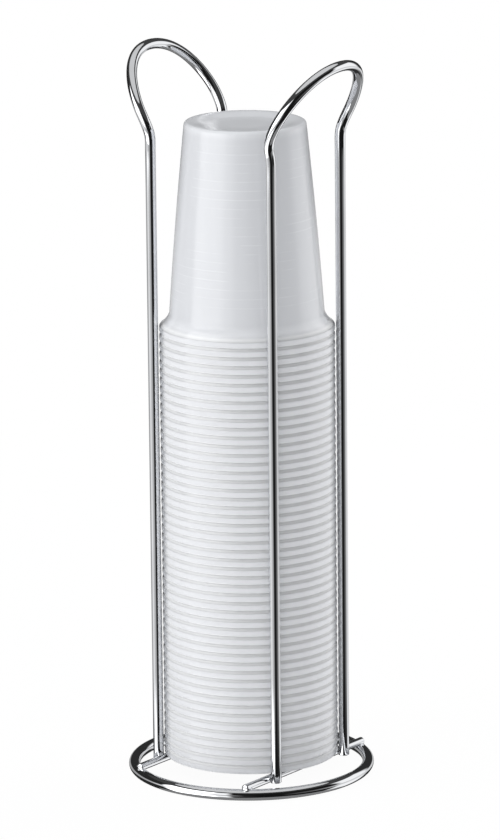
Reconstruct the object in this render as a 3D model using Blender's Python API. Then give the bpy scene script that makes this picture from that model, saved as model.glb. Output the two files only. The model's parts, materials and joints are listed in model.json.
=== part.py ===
"""Chromed wire dispenser, free standing, loaded with one sleeve of nested disposable cups.

Metres, +Z up. The origin is the centre of the base ring on the table. X runs through both hairpin
loops and Y runs along the two cross wires.
"""

import math

import bmesh
import bpy
from mathutils import Vector
from mathutils.geometry import interpolate_bezier

MM = 0.001

# Cup
CUP_COUNT = 50
LOOSE_CUPS = 5
TOP_UP_CUPS = 9
TOP_UP_GAP = 0.02 * MM
RIM_DIAMETER = 71.6 * MM
CUP_HEIGHT = 86.2 * MM
CUP_WALL = 0.15 * MM
NEST_GAP = 0.16 * MM
WALL_TAPER = math.radians(4.905)
RIM_ROLL_WIDTH = 1.1 * MM
RIM_GAP = 1.4 * MM
FLARE_WIDTH = 3.3 * MM
FLARE_HEIGHT = 5.4 * MM
FOOT_LAND_WIDTH = 10.0 * MM
PANEL_DEPTH = 1.2 * MM
CUP_SIDES = 16

# Wires
RING_WIRE = 4.7 * MM
CROSS_WIRE = 3.2 * MM
LOOP_WIRE = 4.3 * MM
RING_STEP_OUT = 12.4 * MM
LEG_SPACING = 48.0 * MM
CUP_CLEARANCE = 0.35 * MM
SEAT_GAP = 0.3 * MM
CROSS_WIRE_OVERHANG = 1.4 * MM
FOOT_HEIGHT = 3.8 * MM
RING_WELD_SINK = 1.0 * MM
LEG_WELD_SINK = 0.5 * MM
RING_STEPS = 60
WIRE_SIDES = 10

# Hairpin loop: its arch rises over a full sleeve, measured to the wire's centre
ARCH_RISE = 26.85 * MM
ARCH_HEIGHT = 38.5 * MM
SHOULDER_HEIGHT = 15.3 * MM
SHOULDER_OUT = 3.0 * MM
SHOULDER_SPREAD = 1.7 * MM
ARCH_REACH = 17.4 * MM
OUTWARD_LEAN = math.radians(29.2)
BEND_HANDLE = 6.7 * MM
SHOULDER_HANDLE = 9.5 * MM
ARCH_HANDLE = 18.9 * MM
BEND_STEPS = 6
ARCH_STEPS = 9

CUTTER_OVERRUN = 5.0 * MM
MERGE_DISTANCE = 0.001 * MM
SMOOTH_ANGLE = math.radians(50.0)

CHROME = (0.78, 0.79, 0.80, 1.0)
CUP_PLASTIC = (0.82, 0.83, 0.86, 1.0)

# Nesting: two like cones lie one wall and one gap apart, measured square to their walls
STACK_PITCH = (CUP_WALL + NEST_GAP) / math.sin(WALL_TAPER)
RIM_RADIUS = RIM_DIAMETER / 2
ROLL_HEIGHT = STACK_PITCH - RIM_GAP
MOUTH_RADIUS = RIM_RADIUS - RIM_ROLL_WIDTH
BODY_RADIUS = MOUTH_RADIUS - FLARE_WIDTH
FLARE_TOP = ROLL_HEIGHT + FLARE_HEIGHT
BASE_RADIUS = BODY_RADIUS - math.tan(WALL_TAPER) * (CUP_HEIGHT - FLARE_TOP)
PANEL_RADIUS = BASE_RADIUS - FOOT_LAND_WIDTH

# Frame: the legs stand just clear of the rims, and the cross wires run along their inner sides
RING_WIRE_RADIUS = RING_WIRE / 2
CROSS_WIRE_RADIUS = CROSS_WIRE / 2
LOOP_WIRE_RADIUS = LOOP_WIRE / 2
RING_RADIUS = RIM_RADIUS + RING_STEP_OUT
LEG_Y = LEG_SPACING / 2
LEG_X = math.sqrt((RIM_RADIUS + CUP_CLEARANCE + LOOP_WIRE_RADIUS) ** 2 - LEG_Y**2)
CROSS_X = LEG_X - LOOP_WIRE_RADIUS - CROSS_WIRE_RADIUS + LEG_WELD_SINK
CROSS_Z = RING_WIRE + CROSS_WIRE_RADIUS - RING_WELD_SINK
CROSS_HALF_LENGTH = math.sqrt(RING_RADIUS**2 - CROSS_X**2) + CROSS_WIRE_OVERHANG
FIRST_RIM_Z = CROSS_Z + CROSS_WIRE_RADIUS + SEAT_GAP
SLEEVE_TOP = FIRST_RIM_Z + (CUP_COUNT - 1) * STACK_PITCH + CUP_HEIGHT
LOOP_TOP = SLEEVE_TOP + ARCH_RISE
BEND_Z = LOOP_TOP - ARCH_HEIGHT


def clear_scene():
    for obj in list(bpy.data.objects):
        bpy.data.objects.remove(obj, do_unlink=True)


def finish(name, colour, roughness, metallic):
    """A plain material with the piece's own colour, roughness and metallic value."""
    material = bpy.data.materials.new(name)
    material.use_nodes = True
    shader = material.node_tree.nodes["Principled BSDF"]
    shader.inputs["Base Color"].default_value = colour
    shader.inputs["Roughness"].default_value = roughness
    shader.inputs["Metallic"].default_value = metallic
    material.diffuse_color = colour
    return material


def chrome(piece_name):
    return finish(piece_name + "_chrome", CHROME, roughness=0.08, metallic=1.0)


def holder(name, location):
    """An empty that carries the pieces that stand or move together."""
    empty = bpy.data.objects.new(name, None)
    empty.location = location
    bpy.context.scene.collection.objects.link(empty)
    return empty


def place(name, data, material=None, parent=None, location=(0, 0, 0), turn=0.0):
    obj = bpy.data.objects.new(name, data)
    if material is not None:
        data.materials.append(material)
    obj.parent = parent
    obj.location = location
    obj.rotation_euler.z = turn
    bpy.context.scene.collection.objects.link(obj)
    return obj


def mesh_from(bm, name):
    """Merges the points that meet on the axis, faces the normals outwards and shades it smooth."""
    bmesh.ops.remove_doubles(bm, verts=bm.verts, dist=MERGE_DISTANCE)
    bmesh.ops.recalc_face_normals(bm, faces=bm.faces)
    mesh = bpy.data.meshes.new(name)
    bm.to_mesh(mesh)
    bm.free()
    mesh.shade_smooth()
    mesh.set_sharp_from_angle(angle=SMOOTH_ANGLE)
    return mesh


def turned(outline, steps, name):
    """Turns an outline of (radius, height) points about Z."""
    bm = bmesh.new()
    verts = [bm.verts.new((radius, 0, height)) for radius, height in outline]
    edges = [bm.edges.new(pair) for pair in zip(verts, verts[1:])]
    bmesh.ops.spin(
        bm,
        geom=verts + edges,
        cent=(0, 0, 0),
        axis=(0, 0, 1),
        angle=math.tau,
        steps=steps,
        use_merge=True,
    )
    return mesh_from(bm, name)


def wire_section(radius):
    """A round wire's section as a polygon whose top and bottom sides are flat, radius from its centre."""
    corner = radius / math.cos(math.pi / WIRE_SIDES)
    angles = [math.tau * (side + 0.5) / WIRE_SIDES - math.pi / 2 for side in range(WIRE_SIDES)]
    return [(corner * math.cos(angle), corner * math.sin(angle)) for angle in angles]


def ring_mesh(name, wire_radius):
    """A closed ring of wire that lies flat, its section's centre one ring wire radius above the table."""
    section = [
        (RING_RADIUS + across, RING_WIRE_RADIUS + up) for across, up in wire_section(wire_radius)
    ]
    return turned(section + section[:1], RING_STEPS, name)


def straight_wire_mesh(name, radius, half_length):
    """A straight wire along Y with flat cut ends."""
    bm = bmesh.new()
    section = wire_section(radius)
    near = [bm.verts.new((across, -half_length, up)) for across, up in section]
    far = [bm.verts.new((across, half_length, up)) for across, up in section]
    bm.faces.new(near)
    bm.faces.new(far)
    for corner in range(WIRE_SIDES):
        bm.faces.new((near[corner - 1], near[corner], far[corner], far[corner - 1]))
    return mesh_from(bm, name)


def cut(obj, cutter, name):
    modifier = obj.modifiers.new(name, "BOOLEAN")
    modifier.operation = "DIFFERENCE"
    modifier.solver = "EXACT"
    modifier.object = cutter


def as_cutter(obj):
    obj.hide_render = True
    obj.display_type = "WIRE"
    return obj


def base_ring(frame):
    return place("base_ring", ring_mesh("base_ring", RING_WIRE_RADIUS), chrome("base_ring"), frame)


def weld_seat_cutters(frame):
    """The ring and the four legs, each grown by the gap that the cross wires' weld seats keep."""
    grown_ring = ring_mesh("ring_seat_cutter", RING_WIRE_RADIUS + SEAT_GAP)
    cutters = [as_cutter(place("ring_seat_cutter", grown_ring, parent=frame))]
    half_height = RING_WIRE + CROSS_WIRE + CUTTER_OVERRUN
    leg_mesh = straight_wire_mesh("leg_seat_cutter", LOOP_WIRE_RADIUS + SEAT_GAP, half_height)
    for side_x in (-1, 1):
        for side_y in (-1, 1):
            leg = place("leg_seat_cutter", leg_mesh, parent=frame)
            leg.location = (side_x * LEG_X, side_y * LEG_Y, CROSS_Z)
            leg.rotation_euler.x = math.pi / 2
            cutters.append(as_cutter(leg))
    return cutters


def cross_wire(name, side, cutters, frame):
    """A straight wire on top of the ring, sunk a little into it and into the two legs at its side."""
    mesh = straight_wire_mesh(name, CROSS_WIRE_RADIUS, CROSS_HALF_LENGTH)
    wire = place(name, mesh, chrome(name), frame, (side * CROSS_X, 0, CROSS_Z))
    for cutter in cutters:
        if cutter.location.x * side >= 0:
            cut(wire, cutter, "weld_seat")
    return wire


def hairpin_route():
    """The wire's centre line for the loop at +X: up one leg, out and over the arch, down the other."""
    foot = Vector((LEG_X, -LEG_Y, FOOT_HEIGHT))
    bend = Vector((LEG_X, -LEG_Y, BEND_Z))
    shoulder = bend + Vector((SHOULDER_OUT, -SHOULDER_SPREAD, SHOULDER_HEIGHT))
    top = Vector((LEG_X + ARCH_REACH, 0, LOOP_TOP))
    lean = Vector((math.sin(OUTWARD_LEAN), 0, math.cos(OUTWARD_LEAN))) * SHOULDER_HANDLE
    rise = Vector((0, 0, BEND_HANDLE))
    along = Vector((0, ARCH_HANDLE, 0))
    lower = interpolate_bezier(bend, bend + rise, shoulder - lean, shoulder, BEND_STEPS + 1)
    upper = interpolate_bezier(shoulder, shoulder + lean, top - along, top, ARCH_STEPS + 1)
    half = [foot] + lower + upper[1:]
    other_half = [Vector((point.x, -point.y, point.z)) for point in half[-2::-1]]
    return half + other_half


def hairpin(name, turn, frame):
    """One wire bent into a tall loop, its two legs cut off flat near the table."""
    curve = bpy.data.curves.new(name, "CURVE")
    curve.dimensions = "3D"
    curve.bevel_depth = LOOP_WIRE_RADIUS
    curve.bevel_resolution = (WIRE_SIDES - 4) // 2
    curve.use_fill_caps = True
    route = hairpin_route()
    spline = curve.splines.new("POLY")
    spline.points.add(len(route) - 1)
    for point, place_on_route in zip(spline.points, route):
        point.co = (*place_on_route, 1.0)
    spline.use_smooth = True
    return place(name, curve, chrome(name), frame, turn=turn)


def cup_outline():
    """One cup upside down: (radius, height) from the base's centre over the outside and back inside."""
    wall_across = CUP_WALL / math.cos(WALL_TAPER)
    flare_across = CUP_WALL * math.hypot(FLARE_WIDTH, FLARE_HEIGHT) / FLARE_HEIGHT
    panel_z = CUP_HEIGHT - PANEL_DEPTH
    inner_mouth = MOUTH_RADIUS - flare_across
    inner_base_z = CUP_HEIGHT - CUP_WALL
    inner_base = BASE_RADIUS + math.tan(WALL_TAPER) * CUP_WALL - wall_across
    return [
        (0, panel_z),
        (PANEL_RADIUS, panel_z),
        (BASE_RADIUS, CUP_HEIGHT),
        (BODY_RADIUS, FLARE_TOP),
        (MOUTH_RADIUS, ROLL_HEIGHT),
        (RIM_RADIUS, ROLL_HEIGHT / 2),
        (inner_mouth, 0),
        (inner_mouth, ROLL_HEIGHT),
        (BODY_RADIUS - wall_across, FLARE_TOP),
        (inner_base, inner_base_z),
        (PANEL_RADIUS, panel_z - CUP_WALL),
        (0, panel_z - CUP_WALL),
    ]


def cups(stack):
    """The sleeve of cups: the lower ones move together, and each loose one rides on the cup below it.

    The last handful was put in later and sits a hair higher.
    """
    mesh = turned(cup_outline(), CUP_SIDES, "cup")
    mesh.materials.append(finish("cup_plastic", CUP_PLASTIC, roughness=0.35, metallic=0.0))
    below = None
    for number in range(1, CUP_COUNT + 1):
        loose = number > CUP_COUNT - LOOSE_CUPS
        carrier = below if loose else stack
        height = STACK_PITCH if loose else (number - 1) * STACK_PITCH
        if not loose and number > CUP_COUNT - TOP_UP_CUPS:
            height += TOP_UP_GAP
        below = place(f"cup_{number:02d}", mesh, parent=carrier, location=(0, 0, height))


def main():
    clear_scene()
    frame = holder("frame", (0, 0, 0))
    base_ring(frame)
    cutters = weld_seat_cutters(frame)
    cross_wire("left_cross_wire", -1, cutters, frame)
    cross_wire("right_cross_wire", 1, cutters, frame)
    hairpin("left_hairpin_loop", math.pi, frame)
    hairpin("right_hairpin_loop", 0.0, frame)
    cups(holder("cup_stack", (0, 0, FIRST_RIM_Z)))


main()
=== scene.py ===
"""Looks of a chromed wire dispenser and its sleeve of nested cups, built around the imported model."""

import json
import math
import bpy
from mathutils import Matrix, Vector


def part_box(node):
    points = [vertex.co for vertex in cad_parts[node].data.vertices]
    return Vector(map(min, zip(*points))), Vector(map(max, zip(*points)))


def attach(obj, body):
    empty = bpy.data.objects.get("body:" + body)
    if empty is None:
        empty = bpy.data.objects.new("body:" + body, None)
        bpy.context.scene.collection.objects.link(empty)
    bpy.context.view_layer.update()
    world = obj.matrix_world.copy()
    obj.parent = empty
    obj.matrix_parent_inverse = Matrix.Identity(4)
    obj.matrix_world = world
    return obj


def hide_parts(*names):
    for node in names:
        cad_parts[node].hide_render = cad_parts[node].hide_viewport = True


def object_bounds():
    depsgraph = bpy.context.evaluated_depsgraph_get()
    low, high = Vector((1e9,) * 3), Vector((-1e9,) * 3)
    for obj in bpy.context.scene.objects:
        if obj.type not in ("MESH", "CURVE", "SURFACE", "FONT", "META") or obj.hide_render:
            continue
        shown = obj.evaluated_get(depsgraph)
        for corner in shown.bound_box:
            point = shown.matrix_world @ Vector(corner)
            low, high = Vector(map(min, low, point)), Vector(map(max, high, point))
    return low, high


bl_info = {
    "name": "Wire Cup Dispenser",
    "version": (1, 0, 0),
    "blender": (4, 5, 0),
    "location": "3D View > Sidebar > Dispenser",
    "description": "Builds the chromed wires, the nested cups and the studio around the packed model",
    "category": "Object",
}

import bmesh
import bpy
from bpy.props import FloatProperty, FloatVectorProperty, IntProperty, PointerProperty
from mathutils import Matrix, Vector, noise
from mathutils.geometry import interpolate_bezier

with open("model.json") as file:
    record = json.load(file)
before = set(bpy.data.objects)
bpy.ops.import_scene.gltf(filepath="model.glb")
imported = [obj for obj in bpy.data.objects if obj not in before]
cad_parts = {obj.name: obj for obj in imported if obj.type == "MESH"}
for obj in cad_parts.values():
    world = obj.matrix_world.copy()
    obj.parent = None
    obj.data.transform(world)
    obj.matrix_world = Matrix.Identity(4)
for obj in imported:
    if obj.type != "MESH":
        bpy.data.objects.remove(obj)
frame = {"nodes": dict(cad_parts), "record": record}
CAD_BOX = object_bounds()

MM = 0.001
CUP_NODES = sorted(node for node in frame["nodes"] if node.startswith("cup_"))
BODY_OF_NODE = {
    node: body for body, nodes in frame["record"]["behaviour"]["bodies"].items() for node in nodes
}

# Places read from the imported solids
RIM_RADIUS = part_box("cup_01")[1].x
FIRST_RIM_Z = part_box("cup_01")[0].z
CUP_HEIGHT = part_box("cup_01")[1].z - FIRST_RIM_Z
STACK_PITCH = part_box("cup_02")[0].z - FIRST_RIM_Z
RING_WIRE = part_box("base_ring")[1].z
CROSS_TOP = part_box("right_cross_wire")[1].z
CROSS_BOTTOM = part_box("right_cross_wire")[0].z
CROSS_HALF_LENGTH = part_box("right_cross_wire")[1].y
LOOP_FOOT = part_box("right_hairpin_loop")[0].z

SIDES = (("left", -1), ("right", 1))

# Meshes: merging, sharp edges, facets and steps
MERGE_DISTANCE = 0.0005 * MM
SHARP_ANGLE = math.radians(40.0)
BEAD_SHARP_ANGLE = math.radians(80.0)
BEAD_SUBDIVISIONS = 3
RING_STEPS = 192
SHOULDER_STEPS = 19
ARCH_STEPS = 33
SLOPE_STEPS = 8
EDGE_STEPS = 6
WALL_STEPS = 12
FLARE_STEPS = 5
ROLL_STEPS = 10

# Turns, in degrees, at which the dome of a cut wire end has its rings
DOME_TURNS = (85, 70, 52, 34, 16, 0)

# Finishes
WHITE = (1, 1, 1, 1)
LINE_COLOUR = (0.90, 0.91, 0.93, 1)
WELD_ROUGHNESS = 0.14
PLASTIC_IOR = 1.49


class WireSizes(bpy.types.PropertyGroup):
    """Sizes of the ring, the cross wires and the hairpin loops."""

    loop_wire: FloatProperty(
        name="Loop wire",
        description="Thickness of the hairpin loops' wire",
        default=4.3 * MM,
        unit="LENGTH",
    )
    ring_step_out: FloatProperty(
        name="Ring step",
        description="From the cups' rim out to the middle of the ring's wire",
        default=12.4 * MM,
        unit="LENGTH",
    )
    leg_spacing: FloatProperty(
        name="Leg spacing",
        description="Between the middles of one loop's legs",
        default=48.0 * MM,
        unit="LENGTH",
    )
    leg_clearance: FloatProperty(
        name="Leg clearance",
        description="Between the cups' rim and a leg",
        default=0.35 * MM,
        unit="LENGTH",
    )
    weld_sink: FloatProperty(
        name="Weld sink",
        description="How deep a leg is welded into its cross wire",
        default=0.5 * MM,
        unit="LENGTH",
    )
    loop_top: FloatProperty(
        name="Loop top",
        description="Height of the wire's middle at the top of the arch",
        default=297.9 * MM,
        unit="LENGTH",
    )
    arch_height: FloatProperty(
        name="Arch height",
        description="From the start of the bend up to the loop's top",
        default=38.5 * MM,
        unit="LENGTH",
    )
    arch_reach: FloatProperty(
        name="Arch reach",
        description="How far the arch leans out from the legs",
        default=17.4 * MM,
        unit="LENGTH",
    )
    arch_handle: FloatProperty(
        name="Arch roundness",
        description="Length of the arch's curve handle at its top",
        default=18.9 * MM,
        unit="LENGTH",
    )
    shoulder_height: FloatProperty(
        name="Shoulder height",
        description="From the start of the bend up to the widest point of the loop",
        default=15.3 * MM,
        unit="LENGTH",
    )
    shoulder_out: FloatProperty(
        name="Shoulder step out",
        description="How far the shoulder lies outside the legs",
        default=3.0 * MM,
        unit="LENGTH",
    )
    shoulder_spread: FloatProperty(
        name="Shoulder spread",
        description="How far the shoulder lies beside the leg",
        default=1.7 * MM,
        unit="LENGTH",
    )
    shoulder_handle: FloatProperty(
        name="Shoulder roundness",
        description="Length of the shoulder's curve handles",
        default=9.5 * MM,
        unit="LENGTH",
    )
    bend_handle: FloatProperty(
        name="Bend roundness",
        description="Length of the curve handle where the leg starts to bend",
        default=6.7 * MM,
        unit="LENGTH",
    )
    lean: FloatProperty(
        name="Lean",
        description="Outward lean of the loop at its shoulder",
        default=math.radians(29.2),
        subtype="ANGLE",
    )
    end_crown: FloatProperty(
        name="End crown",
        description="How far the tumbled end of a cut wire is domed",
        default=0.55 * MM,
        unit="LENGTH",
    )
    bead_width: FloatProperty(
        name="Weld bead width",
        description="Half width of the squeezed metal at a weld",
        default=1.75 * MM,
        unit="LENGTH",
    )
    bead_height: FloatProperty(
        name="Weld bead height",
        description="Half height of the squeezed metal at a weld",
        default=0.8 * MM,
        unit="LENGTH",
    )
    sides: IntProperty(name="Sides", description="Facets round each wire", default=28, min=8)


class CupSizes(bpy.types.PropertyGroup):
    """Sizes of one cup."""

    wall: FloatProperty(
        name="Wall", description="Thickness of the cup's wall", default=0.15 * MM, unit="LENGTH"
    )
    body_radius: FloatProperty(
        name="Body radius",
        description="Radius of the wall just above its flare",
        default=31.55 * MM,
        unit="LENGTH",
    )
    base_radius: FloatProperty(
        name="Base radius",
        description="Radius of the wall where it meets the base's round edge",
        default=24.85 * MM,
        unit="LENGTH",
    )
    wall_bow: FloatProperty(
        name="Wall bow", description="How far the wall bows out", default=0.3 * MM, unit="LENGTH"
    )
    roll_width: FloatProperty(
        name="Roll width",
        description="How far the rolled rim stands out from the mouth",
        default=0.62 * MM,
        unit="LENGTH",
    )
    roll_gap: FloatProperty(
        name="Roll gap",
        description="Open height between the rolled rims of two nested cups",
        default=1.25 * MM,
        unit="LENGTH",
    )
    roll_squareness: FloatProperty(
        name="Roll squareness",
        description="Two is a round roll, and more is a flatter one with rounded corners",
        default=2.8,
        min=2.0,
    )
    flare_height: FloatProperty(
        name="Flare height",
        description="Height of the flare over the rolled rim",
        default=5.4 * MM,
        unit="LENGTH",
    )
    base_edge: FloatProperty(
        name="Base edge",
        description="Radius of the round edge of the base",
        default=1.5 * MM,
        unit="LENGTH",
    )
    panel_radius: FloatProperty(
        name="Panel radius",
        description="Radius of the sunken middle of the base",
        default=14.65 * MM,
        unit="LENGTH",
    )
    panel_depth: FloatProperty(
        name="Panel depth",
        description="How deep the middle of the base is sunk",
        default=1.2 * MM,
        unit="LENGTH",
    )
    sides: IntProperty(name="Sides", description="Facets round each cup", default=80, min=16)


class Finishes(bpy.types.PropertyGroup):
    """Colours and gloss."""

    chrome: FloatVectorProperty(
        name="Chrome", description="Tint of the plating", default=(0.80, 0.81, 0.83), subtype="COLOR"
    )
    chrome_roughness: FloatProperty(
        name="Chrome roughness", description="Haze of the plating", default=0.03, subtype="FACTOR"
    )
    plastic: FloatVectorProperty(
        name="Plastic", description="Colour of the cups", default=(0.755, 0.76, 0.78), subtype="COLOR"
    )
    # Painted shade: a darker copy of the plastic for the smooth wall
    plastic_wall_shade: FloatVectorProperty(
        name="Wall plastic",
        description="Colour of the smooth wall, which is thinner than the base and the rim",
        default=(0.665, 0.67, 0.69),
        subtype="COLOR",
    )
    plastic_lit: FloatVectorProperty(
        name="Lit plastic",
        description="Colour of the cups beside the rolled rim, where light comes through",
        default=(0.975, 0.978, 0.985),
        subtype="COLOR",
    )
    # Painted shade: a dark grey for the rolled rim where it is seen edge on at the cups' sides
    plastic_edge_shade: FloatVectorProperty(
        name="Edge of the plastic",
        description="Colour of the rolled rim where it is seen along its wall",
        default=(0.26, 0.27, 0.29),
        subtype="COLOR",
    )
    plastic_roughness: FloatProperty(
        name="Plastic roughness", description="Haze of the cups", default=0.14, subtype="FACTOR"
    )


class StudioSettings(bpy.types.PropertyGroup):
    """Camera and light."""

    azimuth: FloatProperty(
        name="Azimuth",
        description="Camera's turn round the object",
        default=math.radians(36.04),
        subtype="ANGLE",
    )
    elevation: FloatProperty(
        name="Elevation",
        description="Camera's angle over the table",
        default=math.radians(13.48),
        subtype="ANGLE",
    )
    roll: FloatProperty(
        name="Roll",
        description="Camera's turn about its own axis",
        default=math.radians(-0.578),
        subtype="ANGLE",
    )
    distance: FloatProperty(
        name="Distance", description="From the camera to its aim", default=2.501, unit="LENGTH"
    )
    lens: FloatProperty(
        name="Lens", description="Focal length on a 36 mm frame", default=0.263, unit="CAMERA"
    )
    aim_height: FloatProperty(
        name="Aim height",
        description="Height of the camera's aim",
        default=147.08 * MM,
        unit="LENGTH",
    )
    aim_aside: FloatProperty(
        name="Aim aside",
        description="How far the aim lies right of the axis",
        default=0.8 * MM,
        unit="LENGTH",
    )
    fill: FloatProperty(
        name="Fill", description="Soft light from all round", default=0.65, min=0.0
    )
    fill_lean: FloatProperty(
        name="Fill lean",
        description="How much stronger the soft light is on the left than square to it",
        default=0.36,
        min=0.0,
    )
    fill_lift: FloatProperty(
        name="Fill lift",
        description="How much stronger the soft light is from above than from the side",
        default=0.38,
        min=0.0,
    )


# Meshes


def finished_mesh(bm, name, sharp_angle=SHARP_ANGLE):
    """Faces the normals outwards and shades it smooth up to the sharp angle."""
    bmesh.ops.remove_doubles(bm, verts=bm.verts, dist=MERGE_DISTANCE)
    bmesh.ops.recalc_face_normals(bm, faces=bm.faces)
    mesh = bpy.data.meshes.new(name)
    bm.to_mesh(mesh)
    bm.free()
    mesh.shade_smooth()
    mesh.set_sharp_from_angle(angle=sharp_angle)
    return mesh


def turned(outline, steps, name):
    """Turns an outline of (radius, height) points about Z."""
    bm = bmesh.new()
    verts = [bm.verts.new((radius, 0, height)) for radius, height in outline]
    edges = [bm.edges.new(pair) for pair in zip(verts, verts[1:])]
    bmesh.ops.spin(
        bm,
        geom=verts + edges,
        cent=(0, 0, 0),
        axis=(0, 0, 1),
        angle=math.tau,
        steps=steps,
        use_merge=True,
    )
    return finished_mesh(bm, name)


def arc(centre, radii, start, end, steps):
    """Points on an upright ellipse's arc, its angles in degrees."""
    angles = [math.radians(start + (end - start) * step / steps) for step in range(steps + 1)]
    return [
        (centre[0] + radii[0] * math.cos(angle), centre[1] + radii[1] * math.sin(angle))
        for angle in angles
    ]


def swept_wire(name, stations, sides):
    """A round wire through (point, radius) stations, its two ends closed flat."""
    bm = bmesh.new()
    points = [station[0] for station in stations]
    ways = [
        (points[min(at + 1, len(points) - 1)] - points[max(at - 1, 0)]).normalized()
        for at in range(len(points))
    ]
    across = ways[0].orthogonal().normalized()
    rings = []
    for at, (point, radius) in enumerate(stations):
        if at:
            across = ways[at - 1].rotation_difference(ways[at]) @ across
        beside = ways[at].cross(across)
        turns = [math.tau * side / sides for side in range(sides)]
        rings.append(
            [
                bm.verts.new(point + (across * math.cos(turn) + beside * math.sin(turn)) * radius)
                for turn in turns
            ]
        )
    for near, far in zip(rings, rings[1:]):
        for side in range(sides):
            bm.faces.new((near[side - 1], near[side], far[side], far[side - 1]))
    bm.faces.new(rings[0])
    bm.faces.new(rings[-1])
    return finished_mesh(bm, name)


def with_domed_ends(points, radius, crown):
    """Stations along a wire whose cut ends are worn to shallow domes, no longer than the wire."""
    collar_share = 1.5
    turns = [math.radians(turn) for turn in DOME_TURNS]
    stations = [(point, radius) for point in points[1:-1]]
    for end, inner in ((points[0], points[1]), (points[-1], points[-2])):
        inward = (inner - end).normalized()
        dome = [
            (end + inward * (crown * (1 - math.sin(turn))), radius * math.cos(turn))
            for turn in turns
        ]
        dome.append((end + inward * (crown * collar_share), radius))
        if end is points[0]:
            stations = dome + stations
        else:
            stations = stations + dome[::-1]
    return stations


def piece(name, mesh, material, body, nodes, location=(0, 0, 0)):
    """A part of the object that rides on its body and stands for its nodes."""
    obj = bpy.data.objects.new(name, mesh)
    obj.location = location
    bpy.context.scene.collection.objects.link(obj)
    if not mesh.materials:
        mesh.materials.append(material)
    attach(obj, body)
    if nodes:
        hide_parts(*nodes)


# Shader nodes


def opaque(colour, share=1.0):
    """A colour, or a share of its brightness, with its alpha."""
    return (*[channel * share for channel in colour], 1)


def grey(level):
    """A grey of that brightness, with its alpha."""
    return (level, level, level, 1)


class Shader:
    """A node tree with short ways to add and join its nodes."""

    def __init__(self, tree):
        self.tree = tree

    def add(self, kind, values=(), **settings):
        """A new node, its inputs given by name or number."""
        node = self.tree.nodes.new(kind)
        for name, value in settings.items():
            setattr(node, name, value)
        for name, value in dict(values).items():
            self.feed(node.inputs[name], value)
        return node

    def feed(self, socket, value):
        """Joins an output to the socket, or sets its plain value."""
        if isinstance(value, bpy.types.NodeSocket):
            self.tree.links.new(value, socket)
        else:
            socket.default_value = value

    def math(self, operation, first, second=0.0):
        return self.add("ShaderNodeMath", {0: first, 1: second}, operation=operation).outputs[0]

    def both(self, first, second):
        """Where both masks are."""
        return self.math("MULTIPLY", first, second)

    def between(self, value, low, high, smooth=False):
        """The value spread from low and high out to 0 and 1."""
        node = self.add("ShaderNodeMapRange", {"Value": value, "From Min": low, "From Max": high})
        node.interpolation_type = "SMOOTHSTEP" if smooth else "LINEAR"
        return node.outputs["Result"]

    def mixed(self, factor, first, second):
        """One colour turning into another, through the mix node's colour sockets."""
        node = self.add("ShaderNodeMix", {"Factor": factor, 6: first, 7: second}, data_type="RGBA")
        return node.outputs[2]

    def mixed_ways(self, factor, first, second):
        """One direction turning into another, through the mix node's vector sockets."""
        node = self.add("ShaderNodeMix", {"Factor": factor, 4: first, 5: second}, data_type="VECTOR")
        return node.outputs[1]

    def ramp(self, value, stops):
        """The grey between (position, level) stops."""
        node = self.tree.nodes.new("ShaderNodeValToRGB")
        self.feed(node.inputs["Fac"], value)
        elements = node.color_ramp.elements
        while len(elements) > 1:
            elements.remove(elements[-1])
        elements[0].position = stops[0][0]
        elements[0].color = grey(stops[0][1])
        for position, level in stops[1:]:
            elements.new(position).color = grey(level)
        return node.outputs["Color"]


def mottle_group():
    """Soft cloudy unevenness from noise in the object's space: a 0 to 1 mask and a fine height."""
    found = bpy.data.node_groups.get("soft_mottle")
    if found:
        return found
    tree = bpy.data.node_groups.new("soft_mottle", "ShaderNodeTree")
    for name, default in (("Scale", 60.0), ("Detail", 3.0), ("Low", 0.35), ("High", 0.65)):
        socket = tree.interface.new_socket(name, in_out="INPUT", socket_type="NodeSocketFloat")
        socket.default_value = default
    tree.interface.new_socket("Mask", in_out="OUTPUT", socket_type="NodeSocketFloat")
    tree.interface.new_socket("Height", in_out="OUTPUT", socket_type="NodeSocketFloat")
    shader = Shader(tree)
    given = tree.nodes.new("NodeGroupInput").outputs
    place = shader.add("ShaderNodeTexCoord").outputs["Object"]
    cloud = shader.add(
        "ShaderNodeTexNoise",
        {"Vector": place, "Scale": given["Scale"], "Detail": given["Detail"]},
    ).outputs["Fac"]
    mask = shader.add(
        "ShaderNodeMapRange", {"Value": cloud, "From Min": given["Low"], "From Max": given["High"]}
    ).outputs["Result"]
    result = tree.nodes.new("NodeGroupOutput")
    shader.feed(result.inputs["Mask"], mask)
    shader.feed(result.inputs["Height"], cloud)
    return tree


def mottle(shader, scale, detail=3.0, low=0.35, high=0.65):
    """The outputs of the cloudy group, placed with its own values."""
    values = {"Scale": scale, "Detail": detail, "Low": low, "High": high}
    node = shader.tree.nodes.new("ShaderNodeGroup")
    node.node_tree = mottle_group()
    for name, value in values.items():
        shader.feed(node.inputs[name], value)
    return node.outputs


def new_material(name):
    """A material, its node tree and its Principled shader."""
    material = bpy.data.materials.new(name)
    material.use_nodes = True
    return material, Shader(material.node_tree), material.node_tree.nodes["Principled BSDF"]


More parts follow.
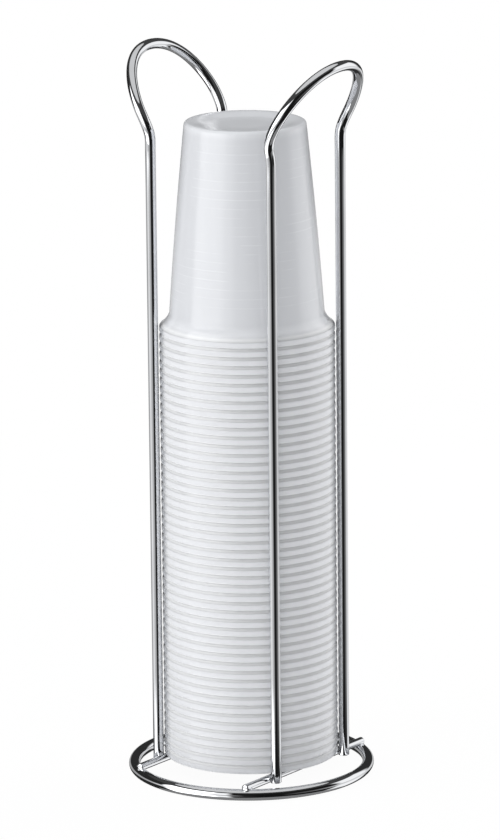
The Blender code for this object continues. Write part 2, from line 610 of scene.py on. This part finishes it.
def chrome_plating(name, haze, grain, roughness=None):
    """Bright plating on drawn wire: hazy patches from handling and very fine drawing marks."""
    finishes = bpy.context.scene.dispenser_finishes
    if roughness is None:
        roughness = finishes.chrome_roughness
    dull_share = 0.93
    grain_height = 0.02 * MM
    material, shader, plating = new_material(name)
    patches = mottle(shader, scale=45.0, low=0.4, high=0.7)["Mask"]
    specks = mottle(shader, scale=900.0, detail=2.0)
    tint = opaque(finishes.chrome)
    dull = opaque(finishes.chrome, dull_share)
    shader.feed(plating.inputs["Base Color"], shader.mixed(patches, tint, dull))
    hazed = shader.math("ADD", shader.math("MULTIPLY", patches, haze), roughness)
    shader.feed(plating.inputs["Roughness"], hazed)
    plating.inputs["Metallic"].default_value = 1.0
    bump = shader.add(
        "ShaderNodeBump", {"Strength": grain, "Distance": grain_height, "Height": specks["Height"]}
    )
    shader.feed(plating.inputs["Normal"], bump.outputs["Normal"])
    return material


# The cups' plastic


def roll_top(cup):
    """Height of the rolled rim over the cup's rim plane."""
    return STACK_PITCH - cup.roll_gap


def level_lines(shader, height):
    """Faint level lines at the cups' spacing, in patches on the smooth wall."""
    crest = (0.82, 1.0)
    over_flare = (13.0 * MM, 17.0 * MM)
    under_base = (CUP_HEIGHT - 4.0 * MM, CUP_HEIGHT - 8.0 * MM)
    wave = shader.math("SINE", shader.math("MULTIPLY", height, math.tau / STACK_PITCH))
    line = shader.between(wave, *crest, smooth=True)
    on_wall = shader.both(
        shader.between(height, *over_flare, smooth=True),
        shader.between(height, *under_base, smooth=True),
    )
    patchy = mottle(shader, scale=55.0, low=0.45, high=0.6)["Mask"]
    return shader.both(shader.both(line, on_wall), patchy)


def wall_shade_zone(shader, height):
    """The smooth wall between the flare and the base, where the plastic is painted a darker shade."""
    over_flare = (4.5 * MM, 8.5 * MM)
    under_base = (CUP_HEIGHT - 1.0 * MM, CUP_HEIGHT - 4.0 * MM)
    return shader.both(
        shader.between(height, *over_flare, smooth=True),
        shader.between(height, *under_base, smooth=True),
    )


def beside_roll(shader, height, cup):
    """The underside of the rolled rim and the gap over it."""
    underside = (0.5 * MM, 0.15 * MM)
    gap_bottom = (roll_top(cup) - 0.15 * MM, roll_top(cup) + 0.1 * MM)
    gap_top = (STACK_PITCH + 0.4 * MM, STACK_PITCH - 0.4 * MM)
    under_roll = shader.between(height, *underside)
    over_roll = shader.both(
        shader.between(height, *gap_bottom), shader.between(height, *gap_top)
    )
    return shader.math("MAXIMUM", under_roll, over_roll)


def level_direction(shader, place):
    """The level way from the cup's axis to the surface."""
    level_only = (1.0, 1.0, 0.0)
    outward = shader.add("ShaderNodeVectorMath", {0: place, 1: level_only}, operation="MULTIPLY")
    turned_way = shader.add(
        "ShaderNodeVectorTransform",
        {"Vector": outward.outputs["Vector"]},
        vector_type="NORMAL",
        convert_from="OBJECT",
        convert_to="WORLD",
    )
    return turned_way.outputs["Vector"]


def roll_edge_shade(shader, height, level_way, cup):
    """Where the rolled rim is seen along its wall at the cup's left and right edge, the mask of its
    painted shade.
    """
    edge_on = (0.64, 0.76)
    roll_end = (roll_top(cup) + 0.2 * MM, roll_top(cup) - 0.2 * MM)
    aside = shader.add("ShaderNodeLayerWeight", {"Blend": 0.5, "Normal": level_way})
    return shader.both(
        shader.between(aside.outputs["Facing"], *edge_on, smooth=True),
        shader.between(height, *roll_end),
    )


def softened_rim(shader, height, own_normal, level_way):
    """The surface's normal, turned mostly level near the rim, since light spreads inside it."""
    level_share = 0.85
    outer_side = (0.0, 0.2)
    rim_zone = (STACK_PITCH + 2.0 * MM, STACK_PITCH)
    outside = shader.add(
        "ShaderNodeVectorMath", {0: own_normal, 1: level_way}, operation="DOT_PRODUCT"
    )
    near_rim = shader.both(
        shader.between(outside.outputs["Value"], *outer_side), shader.between(height, *rim_zone)
    )
    share = shader.math("MULTIPLY", near_rim, level_share)
    return shader.mixed_ways(share, own_normal, level_way)


def cup_plastic(name, cup):
    """Milky thin plastic: clouded by its own flow, with faint level lines, painted light beside the
    rolled rim, and painted shade on the smooth wall and at the roll's edges.
    """
    thin_share = 0.955
    line_strength = 0.2
    edge_shade_strength = 0.7
    cloud_haze = 0.05
    ripple_strength = 0.35
    ripple_height = 0.05 * MM
    finishes = bpy.context.scene.dispenser_finishes
    material, shader, skin = new_material(name)
    place = shader.add("ShaderNodeTexCoord").outputs["Object"]
    height = shader.add("ShaderNodeSeparateXYZ", {"Vector": place}).outputs["Z"]
    level_way = level_direction(shader, place)

    clouds = mottle(shader, scale=70.0, low=0.3, high=0.7)["Mask"]
    milky = opaque(finishes.plastic)
    thin = opaque(finishes.plastic, thin_share)
    body = shader.mixed(clouds, milky, thin)
    # Painted shade: the smooth wall gets a darker copy of the plastic
    wall_shaded = shader.mixed(wall_shade_zone(shader, height), body, opaque(finishes.plastic_wall_shade))
    lines = level_lines(shader, height)
    lined = shader.mixed(shader.math("MULTIPLY", lines, line_strength), wall_shaded, LINE_COLOUR)
    lit = shader.mixed(beside_roll(shader, height, cup), lined, opaque(finishes.plastic_lit))
    # Painted shade: the rolled rim turns dark grey where it is seen edge on at the cup's sides
    edge = roll_edge_shade(shader, height, level_way, cup)
    edge_shade_mask = shader.math("MULTIPLY", edge, edge_shade_strength)
    edge_shaded = shader.mixed(edge_shade_mask, lit, opaque(finishes.plastic_edge_shade))
    shader.feed(skin.inputs["Base Color"], edge_shaded)

    haze = shader.math("MULTIPLY", clouds, cloud_haze)
    roughness = shader.math("ADD", haze, finishes.plastic_roughness)
    shader.feed(skin.inputs["Roughness"], roughness)
    skin.inputs["IOR"].default_value = PLASTIC_IOR
    ripple = shader.add(
        "ShaderNodeBump", {"Strength": ripple_strength, "Distance": ripple_height, "Height": lines}
    )
    normal = softened_rim(shader, height, ripple.outputs["Normal"], level_way)
    shader.feed(skin.inputs["Normal"], normal)
    return material


# The wires


def cross_radius():
    return (CROSS_TOP - CROSS_BOTTOM) / 2


def loop_radius():
    return bpy.context.scene.dispenser_wires.loop_wire / 2


def ring_radius():
    return RIM_RADIUS + bpy.context.scene.dispenser_wires.ring_step_out


def leg_place():
    """(x, y) of a leg of the right loop."""
    wires = bpy.context.scene.dispenser_wires
    leg_y = wires.leg_spacing / 2
    reach = RIM_RADIUS + wires.leg_clearance + loop_radius()
    return math.sqrt(reach**2 - leg_y**2), leg_y


def cross_place():
    """(x, z) of the right cross wire's middle."""
    sink = bpy.context.scene.dispenser_wires.weld_sink
    cross_x = leg_place()[0] - loop_radius() - cross_radius() + sink
    return cross_x, CROSS_TOP - cross_radius()


def hairpin_route():
    """The middle of the right loop's wire: up one leg, out and over the arch, down the other."""
    straight_share = 0.985
    wires = bpy.context.scene.dispenser_wires
    leg_x, leg_y = leg_place()
    foot = Vector((leg_x, -leg_y, LOOP_FOOT))
    bend = Vector((leg_x, -leg_y, wires.loop_top - wires.arch_height))
    shoulder = bend + Vector((wires.shoulder_out, -wires.shoulder_spread, wires.shoulder_height))
    top = Vector((leg_x + wires.arch_reach, 0, wires.loop_top))
    lean = Vector((math.sin(wires.lean), 0, math.cos(wires.lean))) * wires.shoulder_handle
    rise = Vector((0, 0, wires.bend_handle))
    along = Vector((0, wires.arch_handle, 0))
    below_bend = foot.lerp(bend, straight_share)
    lower = interpolate_bezier(bend, bend + rise, shoulder - lean, shoulder, SHOULDER_STEPS)
    upper = interpolate_bezier(shoulder, shoulder + lean, top - along, top, ARCH_STEPS)
    half = [foot, below_bend] + lower + upper[1:]
    return half + [Vector((point.x, -point.y, point.z)) for point in half[-2::-1]]


def wire_piece(name, route, radius, chrome, node):
    """A round wire along the route, its cut ends domed, that stands for its node."""
    wires = bpy.context.scene.dispenser_wires
    mesh = swept_wire(name, with_domed_ends(route, radius, wires.end_crown), wires.sides)
    piece(name, mesh, chrome, "frame", [node])


class DISPENSER_OT_base_ring(bpy.types.Operator):
    """Make the ring of wire that the dispenser stands on"""

    bl_idname = "dispenser.base_ring"
    bl_label = "Base Ring"

    def execute(self, context):
        wires = context.scene.dispenser_wires
        radius = RING_WIRE / 2
        section = arc((ring_radius(), radius), (radius, radius), 0.0, 360.0, wires.sides)
        mesh = turned(section[:-1] + section[:1], RING_STEPS, "ring_wire")
        chrome = chrome_plating("ring_chrome", haze=0.04, grain=0.03)
        piece("ring_wire", mesh, chrome, "frame", ["base_ring"])
        return {"FINISHED"}


class DISPENSER_OT_cross_wires(bpy.types.Operator):
    """Make the two straight wires that the lowest rim rests on"""

    bl_idname = "dispenser.cross_wires"
    bl_label = "Cross Wires"

    def execute(self, context):
        cross_x, cross_z = cross_place()
        chrome = chrome_plating("cross_chrome", haze=0.05, grain=0.08)
        for side_name, side in SIDES:
            route = [
                Vector((side * cross_x, way * CROSS_HALF_LENGTH, cross_z)) for way in (-1, 0, 1)
            ]
            node = side_name + "_cross_wire"
            wire_piece(side_name + "_cross_rod", route, cross_radius(), chrome, node)
        return {"FINISHED"}


class DISPENSER_OT_hairpin_loops(bpy.types.Operator):
    """Make the two tall bent loops that hold the sleeve of cups"""

    bl_idname = "dispenser.hairpin_loops"
    bl_label = "Hairpin Loops"

    def execute(self, context):
        chrome = chrome_plating("loop_chrome", haze=0.04, grain=0.02)
        for side_name, side in SIDES:
            route = [Vector((side * point.x, side * point.y, point.z)) for point in hairpin_route()]
            node = side_name + "_hairpin_loop"
            wire_piece(side_name + "_loop_wire", route, loop_radius(), chrome, node)
        return {"FINISHED"}


def weld_places():
    """(centre, squeezed way) of the welds at the ring and at the legs."""
    wires = bpy.context.scene.dispenser_wires
    leg_x, leg_y = leg_place()
    cross_x, cross_z = cross_place()
    ring_y = math.sqrt(ring_radius() ** 2 - cross_x**2)
    at_ring = (CROSS_BOTTOM + RING_WIRE) / 2
    between = (leg_x - loop_radius() + cross_x + cross_radius()) / 2
    for side in (-1, 1):
        for way in (-1, 1):
            yield Vector((side * cross_x, way * ring_y, at_ring)), Vector((0, 0, 1))
            yield Vector((side * between, way * leg_y, cross_z)), Vector((1, 0, 0))


class DISPENSER_OT_weld_fillets(bpy.types.Operator):
    """Make the squeezed metal where the wires are resistance welded"""

    bl_idname = "dispenser.weld_fillets"
    bl_label = "Weld Fillets"

    def execute(self, context):
        wires = context.scene.dispenser_wires
        lump_share = 0.12
        lumps_across = 1.7
        bm = bmesh.new()
        for centre, squeezed in weld_places():
            ball = bmesh.ops.create_icosphere(bm, subdivisions=BEAD_SUBDIVISIONS, radius=1.0)
            for vert in ball["verts"]:
                way = vert.co.copy()
                along = squeezed * way.dot(squeezed)
                lump = 1.0 + lump_share * noise.noise(way * lumps_across + centre / MM)
                flat = (way - along) * wires.bead_width + along * wires.bead_height
                vert.co = centre + flat * lump
        mesh = finished_mesh(bm, "weld_fillets", BEAD_SHARP_ANGLE)
        chrome = chrome_plating("weld_chrome", haze=0.12, grain=0.3, roughness=WELD_ROUGHNESS)
        piece("weld_fillets", mesh, chrome, "frame", [])
        return {"FINISHED"}


# The cups


def base_outline(cup):
    """(radius, height) points from the middle of the base to its round edge."""
    rise_power = 1.4
    edge_turn = (90, 5)
    panel_z = CUP_HEIGHT - cup.panel_depth
    edge_radius = cup.base_radius - cup.base_edge
    land = edge_radius - cup.panel_radius
    panel = [(0.0, panel_z), (cup.panel_radius / 2, panel_z)]
    slope = []
    for step in range(SLOPE_STEPS):
        share = step / SLOPE_STEPS
        rise = math.sin(math.pi / 2 * share) ** rise_power
        slope.append((cup.panel_radius + land * share, panel_z + cup.panel_depth * rise))
    middle = (edge_radius, CUP_HEIGHT - cup.base_edge)
    edge = arc(middle, (cup.base_edge, cup.base_edge), *edge_turn, EDGE_STEPS)
    return panel + slope + edge


def wall_outline(cup):
    """(radius, height) points down the slightly bowed wall."""
    top = CUP_HEIGHT - cup.base_edge
    bottom = roll_top(cup) + cup.flare_height
    wall = []
    for step in range(1, WALL_STEPS + 1):
        share = step / WALL_STEPS
        bow = cup.wall_bow * math.sin(math.pi * share)
        radius = cup.base_radius + (cup.body_radius - cup.base_radius) * share + bow
        wall.append((radius, top + (bottom - top) * share))
    return wall


def flare_outline(cup):
    """(radius, height) points down the flare, which opens faster towards the rim."""
    straight_share = 0.35
    top = roll_top(cup) + cup.flare_height
    spread = RIM_RADIUS - cup.roll_width - cup.body_radius
    flare = []
    for step in range(1, FLARE_STEPS + 1):
        share = step / FLARE_STEPS
        out = spread * (straight_share * share + (1 - straight_share) * share**2)
        flare.append((cup.body_radius + out, top - cup.flare_height * share))
    return flare


def roll_outline(cup):
    """(radius, height) points down the rolled rim, a flattened half round."""
    roll_turn = (72, -72)
    mouth = RIM_RADIUS - cup.roll_width
    half = roll_top(cup) / 2
    roll = []
    for radius, height in arc((mouth, half), (cup.roll_width, half), *roll_turn, ROLL_STEPS):
        up = (height - half) / half
        out = (1 - abs(up) ** cup.roll_squareness) ** (1 / cup.roll_squareness)
        roll.append((mouth + cup.roll_width * out, height))
    roll.append((mouth, 0.0))
    return roll


def inset(points, distance):
    """The same outline one wall further in."""
    moved = []
    for at, (radius, height) in enumerate(points):
        before = points[max(at - 1, 0)]
        after = points[min(at + 1, len(points) - 1)]
        run = Vector((after[0] - before[0], after[1] - before[1])).normalized()
        moved.append((max(radius + run.y * distance, 0.0), height - run.x * distance))
    moved[0] = (0.0, moved[0][1])
    return moved


def cup_mesh(cup):
    """One cup upside down, its rim plane at height zero."""
    lip_share = 0.15
    outside = base_outline(cup) + wall_outline(cup) + flare_outline(cup)
    inside = inset(outside, cup.wall)
    lip = [(inside[-1][0], roll_top(cup) * lip_share), inside[-1]]
    outline = outside + roll_outline(cup) + lip + inside[-2::-1]
    return turned(outline, cup.sides, "cup_shell")


class DISPENSER_OT_cups(bpy.types.Operator):
    """Make the sleeve of nested cups"""

    bl_idname = "dispenser.cups"
    bl_label = "Cups"

    def execute(self, context):
        cup = context.scene.dispenser_cup
        mesh = cup_mesh(cup)
        plastic = cup_plastic("cup_plastic", cup)
        for node in CUP_NODES:
            rim = Vector((0, 0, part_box(node)[0].z))
            name = node.replace("cup_", "cup_shell_")
            piece(name, mesh, plastic, BODY_OF_NODE[node], [node], rim)
        return {"FINISHED"}


# The studio

# (azimuth in degrees from the camera, right positive, and brightness) round the reflected set:
# the tall cards, and the waist, a band below the table's height that upright wires mirror
CARD_LEVELS = (
    (-180, 0.03),
    (-91, 0.02),
    (-85, 2.4),
    (-38, 2.4),
    (-34, 1.2),
    (-24, 1.2),
    (-18, 0.01),
    (83, 0.01),
    (91, 1.1),
    (128, 1.1),
    (138, 0.03),
    (180, 0.03),
)
WAIST_LEVELS = (
    (-180, 0.40),
    (-120, 0.42),
    (-104, 0.50),
    (-92, 0.80),
    (-75, 1.00),
    (-62, 0.80),
    (-46, 0.60),
    (-28, 0.52),
    (-16, 0.30),
    (-7, 0.04),
    (8, 0.005),
    (28, 0.01),
    (42, 0.10),
    (58, 0.16),
    (72, 0.30),
    (82, 0.60),
    (100, 0.75),
    (140, 0.80),
    (180, 0.40),
)
SET_PEAK = max(level for azimuth, level in CARD_LEVELS + WAIST_LEVELS)

# (name, azimuth from the camera and elevation in degrees, width and height, power)
SOFTBOXES = (
    ("key_softbox", -62, 9, (1.0, 1.4), 7.3),
    ("side_softbox", 126, 12, (0.9, 1.4), 14.6),
)
SENSOR_WIDTH_MM = 36.0


def facing(azimuth, elevation):
    """The way from the object to a point at that azimuth and elevation, as the views use them."""
    flat = math.cos(elevation)
    return Vector((math.sin(azimuth) * flat, -math.cos(azimuth) * flat, math.sin(elevation)))


def white_world(studio):
    """Soft light from the left and above, white to the camera, grey to the chrome past the set."""
    lean_azimuth = studio.azimuth + math.radians(-75)
    daylight = (0.97, 0.985, 1.0, 1)
    horizon = (-0.1, 0.1)
    mirrored_below = 0.25
    mirrored_rise = 0.47
    world = bpy.data.worlds.new("studio")
    world.use_nodes = True
    shader = Shader(world.node_tree)
    path = shader.add("ShaderNodeLightPath").outputs
    way = shader.add("ShaderNodeTexCoord").outputs["Generated"]
    slope = facing(lean_azimuth, 0.0) * studio.fill_lean
    slope.z = studio.fill_lift
    slant = shader.add("ShaderNodeVectorMath", {0: way, 1: slope}, operation="DOT_PRODUCT")
    strength = shader.math("ADD", slant.outputs["Value"], studio.fill)
    lighting = world.node_tree.nodes["Background"]
    lighting.inputs["Color"].default_value = daylight
    shader.feed(lighting.inputs["Strength"], strength)
    up = shader.add("ShaderNodeSeparateXYZ", {"Vector": way}).outputs["Z"]
    above = shader.math("MULTIPLY", shader.between(up, *horizon), mirrored_rise)
    mirrored = shader.add(
        "ShaderNodeBackground",
        {"Color": WHITE, "Strength": shader.math("ADD", above, mirrored_below)},
    )
    seen = shader.add("ShaderNodeBackground", {"Color": WHITE, "Strength": 1.0})
    by_metal = shader.add("ShaderNodeMixShader", {0: path["Is Glossy Ray"]})
    shader.feed(by_metal.inputs[1], lighting.outputs[0])
    shader.feed(by_metal.inputs[2], mirrored.outputs[0])
    direct = shader.math("MAXIMUM", path["Is Camera Ray"], path["Is Transmission Ray"])
    by_eye = shader.add("ShaderNodeMixShader", {0: direct})
    shader.feed(by_eye.inputs[1], by_metal.outputs[0])
    shader.feed(by_eye.inputs[2], seen.outputs[0])
    shader.feed(world.node_tree.nodes["World Output"].inputs["Surface"], by_eye.outputs[0])
    bpy.context.scene.world = world


def pale_floor():
    """A pale table that fades into the white background and keeps a little of the shadow."""
    radius = 1.6
    steps = 128
    paint_level = 0.9
    paint_roughness = 0.9
    fade = (0.15, 0.6)
    least_white = 0.96
    bm = bmesh.new()
    bmesh.ops.create_circle(bm, cap_ends=True, segments=steps, radius=radius)
    mesh = finished_mesh(bm, "floor")
    material, shader, paint = new_material("floor_paint")
    paint.inputs["Base Color"].default_value = grey(paint_level)
    paint.inputs["Roughness"].default_value = paint_roughness
    paint.inputs["Specular IOR Level"].default_value = 0.0
    place = shader.add("ShaderNodeTexCoord").outputs["Object"]
    reach = shader.add("ShaderNodeVectorMath", {0: place}, operation="LENGTH").outputs["Value"]
    far = shader.between(reach, *fade, smooth=True)
    seen = shader.add("ShaderNodeLightPath").outputs["Is Camera Ray"]
    white = shader.both(seen, shader.math("MAXIMUM", far, least_white))
    glow = shader.add("ShaderNodeEmission", {"Color": WHITE, "Strength": 1.0})
    mix = shader.add("ShaderNodeMixShader", {0: white})
    shader.feed(mix.inputs[1], paint.outputs[0])
    shader.feed(mix.inputs[2], glow.outputs[0])
    shader.feed(shader.tree.nodes["Material Output"].inputs["Surface"], mix.outputs[0])
    mesh.materials.append(material)
    floor = bpy.data.objects.new("floor", mesh)
    floor.visible_glossy = False
    bpy.context.scene.collection.objects.link(floor)


def reflected_set(azimuth):
    """The lit and dark cards round the table, which only the glossy surfaces see."""
    radius = 1.4
    bottom = -1.3
    top = 1.8
    steps = 96
    waist_bottom = (-0.40, -0.35)
    waist_top = (0.03, -0.03)
    cards_end = (0.90, 1.0)
    overhead_level = 0.06
    front = 0.5
    mesh = turned([(radius, bottom), (radius, top)], steps, "reflected_set")
    material = bpy.data.materials.new("reflected_set")
    material.use_nodes = True
    material.node_tree.nodes.clear()
    shader = Shader(material.node_tree)
    place = shader.add("ShaderNodeTexCoord").outputs["Object"]
    angle = shader.add("ShaderNodeTexGradient", {"Vector": place}, gradient_type="RADIAL")
    height = shader.add("ShaderNodeSeparateXYZ", {"Vector": place}).outputs["Z"]
    cards, waist = [
        shader.ramp(
            angle.outputs["Fac"], [(front + turn / 360, level / SET_PEAK) for turn, level in table]
        )
        for table in (CARD_LEVELS, WAIST_LEVELS)
    ]
    in_waist = shader.both(
        shader.between(height, *waist_bottom), shader.between(height, *waist_top)
    )
    levels = shader.mixed(in_waist, cards, waist)
    overhead = grey(overhead_level / SET_PEAK)
    shaded = shader.mixed(shader.between(height, *cards_end), levels, overhead)
    glow = shader.add("ShaderNodeEmission", {"Color": shaded, "Strength": SET_PEAK})
    result = shader.add("ShaderNodeOutputMaterial")
    shader.feed(result.inputs["Surface"], glow.outputs[0])
    mesh.materials.append(material)
    surround = bpy.data.objects.new("reflected_set", mesh)
    surround.rotation_euler.z = azimuth - math.pi / 2
    surround.visible_camera = False
    surround.visible_diffuse = False
    surround.visible_transmission = False
    surround.visible_shadow = False
    bpy.context.scene.collection.objects.link(surround)


def softbox(name, azimuth, elevation, size, power):
    """A soft area lamp that faces the middle of the object."""
    distance = 1.5
    data = bpy.data.lights.new(name, "AREA")
    data.shape = "RECTANGLE"
    data.size, data.size_y = size
    data.energy = power
    lamp = bpy.data.objects.new(name, data)
    way = facing(azimuth, elevation)
    middle = Vector((0, 0, (CAD_BOX[0].z + CAD_BOX[1].z) / 2))
    lamp.location = middle + way * distance
    lamp.rotation_mode = "QUATERNION"
    lamp.rotation_quaternion = way.to_track_quat("Z", "Y")
    lamp.visible_glossy = False
    bpy.context.scene.collection.objects.link(lamp)


def photo_camera(studio):
    """The camera at the photograph's angle."""
    data = bpy.data.cameras.new("camera")
    data.sensor_width = SENSOR_WIDTH_MM
    data.lens = studio.lens / MM
    back = facing(studio.azimuth, studio.elevation)
    right = Vector((math.cos(studio.azimuth), math.sin(studio.azimuth), 0))
    up = back.cross(right)
    aim = right * studio.aim_aside + Vector((0, 0, studio.aim_height))
    level, tilt = math.cos(studio.roll), math.sin(studio.roll)
    rotation = Matrix((right * level + up * tilt, up * level - right * tilt, back)).transposed()
    camera = bpy.data.objects.new("camera", data)
    camera.matrix_world = Matrix.Translation(aim + back * studio.distance) @ rotation.to_4x4()
    bpy.context.scene.collection.objects.link(camera)
    bpy.context.scene.camera = camera


class DISPENSER_OT_studio(bpy.types.Operator):
    """Make the floor, the light and the camera"""

    bl_idname = "dispenser.studio"
    bl_label = "Studio"

    def execute(self, context):
        studio = context.scene.dispenser_studio
        white_world(studio)
        pale_floor()
        reflected_set(studio.azimuth)
        for name, azimuth, elevation, size, power in SOFTBOXES:
            turn = studio.azimuth + math.radians(azimuth)
            softbox(name, turn, math.radians(elevation), size, power)
        photo_camera(studio)
        context.scene.view_settings.view_transform = "Standard"
        return {"FINISHED"}


PARTS = (
    DISPENSER_OT_base_ring,
    DISPENSER_OT_cross_wires,
    DISPENSER_OT_hairpin_loops,
    DISPENSER_OT_weld_fillets,
    DISPENSER_OT_cups,
    DISPENSER_OT_studio,
)
SETTINGS = (
    ("dispenser_wires", WireSizes),
    ("dispenser_cup", CupSizes),
    ("dispenser_finishes", Finishes),
    ("dispenser_studio", StudioSettings),
)


class DISPENSER_PT_parts(bpy.types.Panel):
    """Lists the parts and their settings"""

    bl_idname = "DISPENSER_PT_parts"
    bl_label = "Wire Cup Dispenser"
    bl_space_type = "VIEW_3D"
    bl_region_type = "UI"
    bl_category = "Dispenser"

    def draw(self, context):
        for part in PARTS:
            self.layout.operator(part.bl_idname)
        for name, settings in SETTINGS:
            box = self.layout.box()
            for setting in settings.__annotations__:
                box.prop(getattr(context.scene, name), setting)


def register():
    for name, settings in SETTINGS:
        bpy.utils.register_class(settings)
        setattr(bpy.types.Scene, name, PointerProperty(type=settings))
    for part in (*PARTS, DISPENSER_PT_parts):
        bpy.utils.register_class(part)


def unregister():
    for part in (DISPENSER_PT_parts, *reversed(PARTS)):
        bpy.utils.unregister_class(part)
    for name, settings in reversed(SETTINGS):
        delattr(bpy.types.Scene, name)
        bpy.utils.unregister_class(settings)


def main():
    register()
    bpy.ops.dispenser.base_ring()
    bpy.ops.dispenser.cross_wires()
    bpy.ops.dispenser.hairpin_loops()
    bpy.ops.dispenser.weld_fillets()
    bpy.ops.dispenser.cups()
    bpy.ops.dispenser.studio()


if __name__ == "__main__":
    main()
